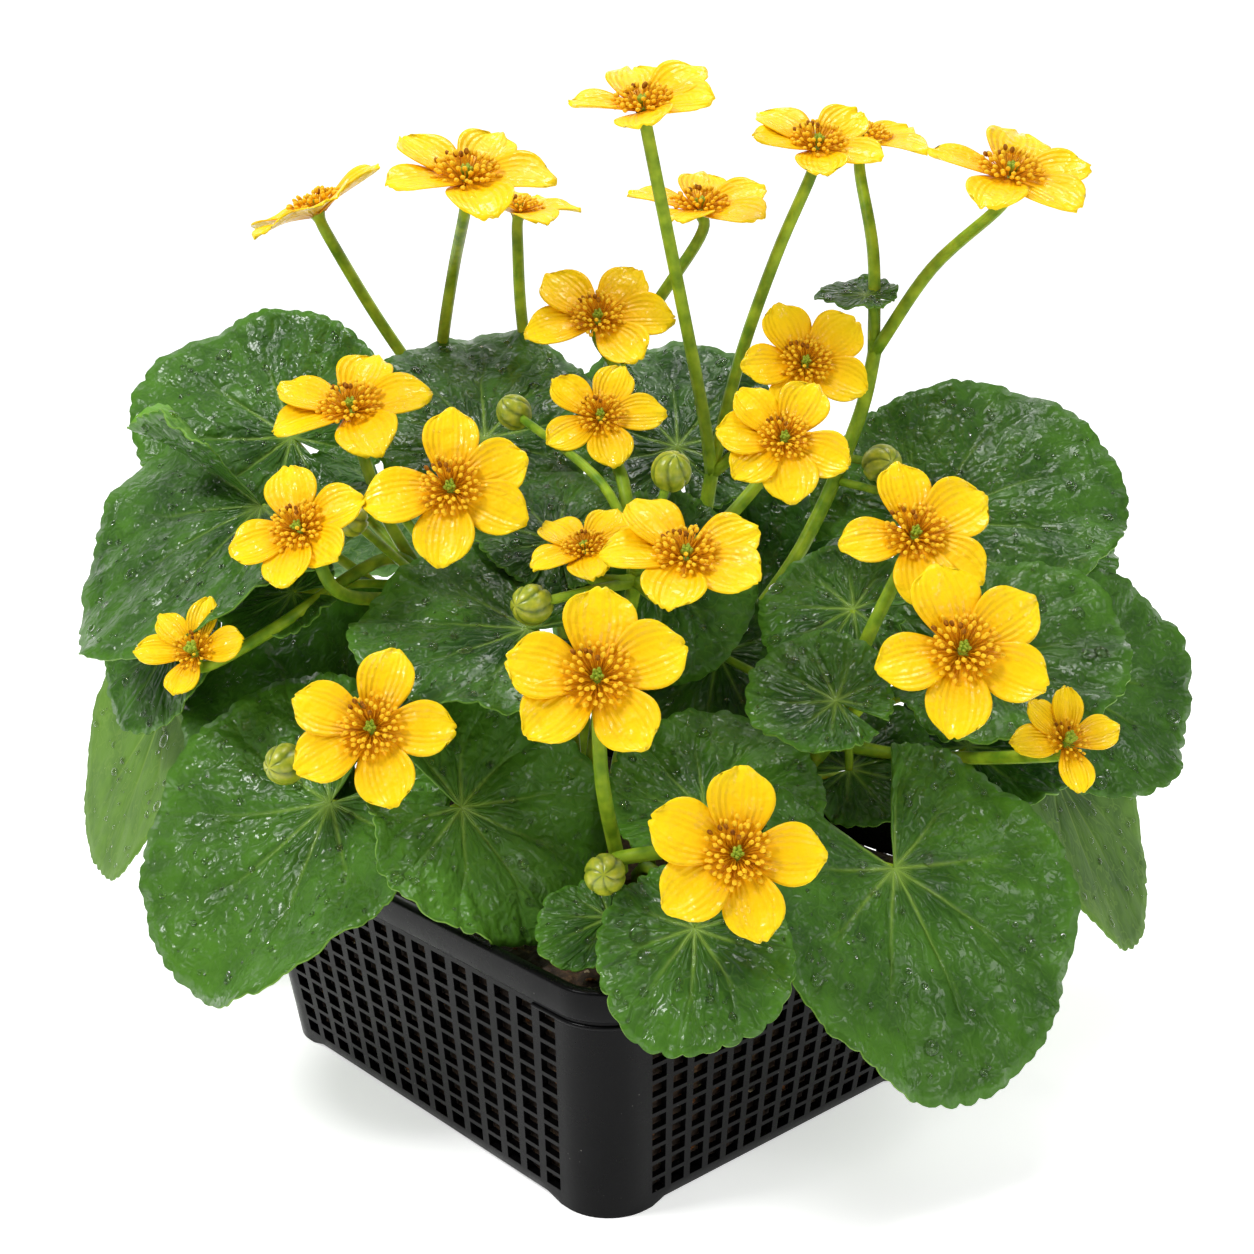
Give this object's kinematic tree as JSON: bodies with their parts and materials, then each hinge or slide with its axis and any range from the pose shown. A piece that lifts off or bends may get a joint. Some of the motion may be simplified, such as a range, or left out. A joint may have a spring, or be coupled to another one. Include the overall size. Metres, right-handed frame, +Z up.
{
  "type": "pond plant in basket",
  "caption": "Marsh marigold with cupped yellow flowers and broad kidney-shaped leaves, rooted in soil in a rectangular lattice-walled pond planting basket.",
  "frame": {"origin": "centre of the basket's underside, on the ground", "axes": "+Z up; X along the basket's long sides and Y along its short sides, with the corner between +X and -Y at the front"},
  "size_m": [0.3401, 0.3183, 0.3093],
  "materials": {
    "basket": "satin black moulded polypropylene with faint scuffs",
    "soil": null,
    "rootstock": null,
    "leaf": null,
    "petal": null,
    "stem": null
  },
  "bodies": {
    "root": {"basket": "basket", "soil": "soil", "rootstock": "rootstock", "leaf_back_left": "leaf", "leaf_left": "leaf", "leaf_left_low": "leaf", "leaf_left_hanging": "leaf", "leaf_left_middle": "leaf", "leaf_front_left": "leaf", "leaf_front_mid_left": "leaf", "leaf_front_inner": "leaf", "leaf_front_centre": "leaf", "leaf_centre_front": "leaf", "leaf_front_right": "leaf", "leaf_right_middle": "leaf", "leaf_right_far": "leaf", "leaf_right_hanging": "leaf", "leaf_back_right": "leaf", "leaf_right_back": "leaf", "leaf_back_centre": "leaf", "leaf_centre_back": "leaf", "leaf_centre_left": "leaf", "leaf_back_far": "leaf", "leaf_rear_left": "leaf", "leaf_rear_centre": "leaf", "leaf_rear_right": "leaf", "leaf_right_low": "leaf", "flower_01": "petal", "flower_02": "petal", "flower_03": "petal", "flower_04": "petal", "flower_05": "petal", "flower_06": "petal", "flower_07": "petal", "flower_08": "petal", "flower_09": "petal", "flower_10": "petal", "flower_11": "petal", "flower_12": "petal", "flower_13": "petal", "flower_14": "petal", "flower_15": "petal", "flower_16": "petal", "flower_17": "petal", "flower_18": "petal", "flower_19": "petal", "flower_20": "petal", "flower_21": "petal", "flower_22": "petal", "flower_23": "petal", "flower_24": "petal", "stem_back_left": "stem", "stem_back_centre": "stem", "stem_back_right": "stem", "stem_right_back": "stem", "stem_left": "stem", "stem_front_left": "stem", "stem_centre": "stem", "stem_right": "stem", "stem_front": "stem"}
  },
  "joints": []
}
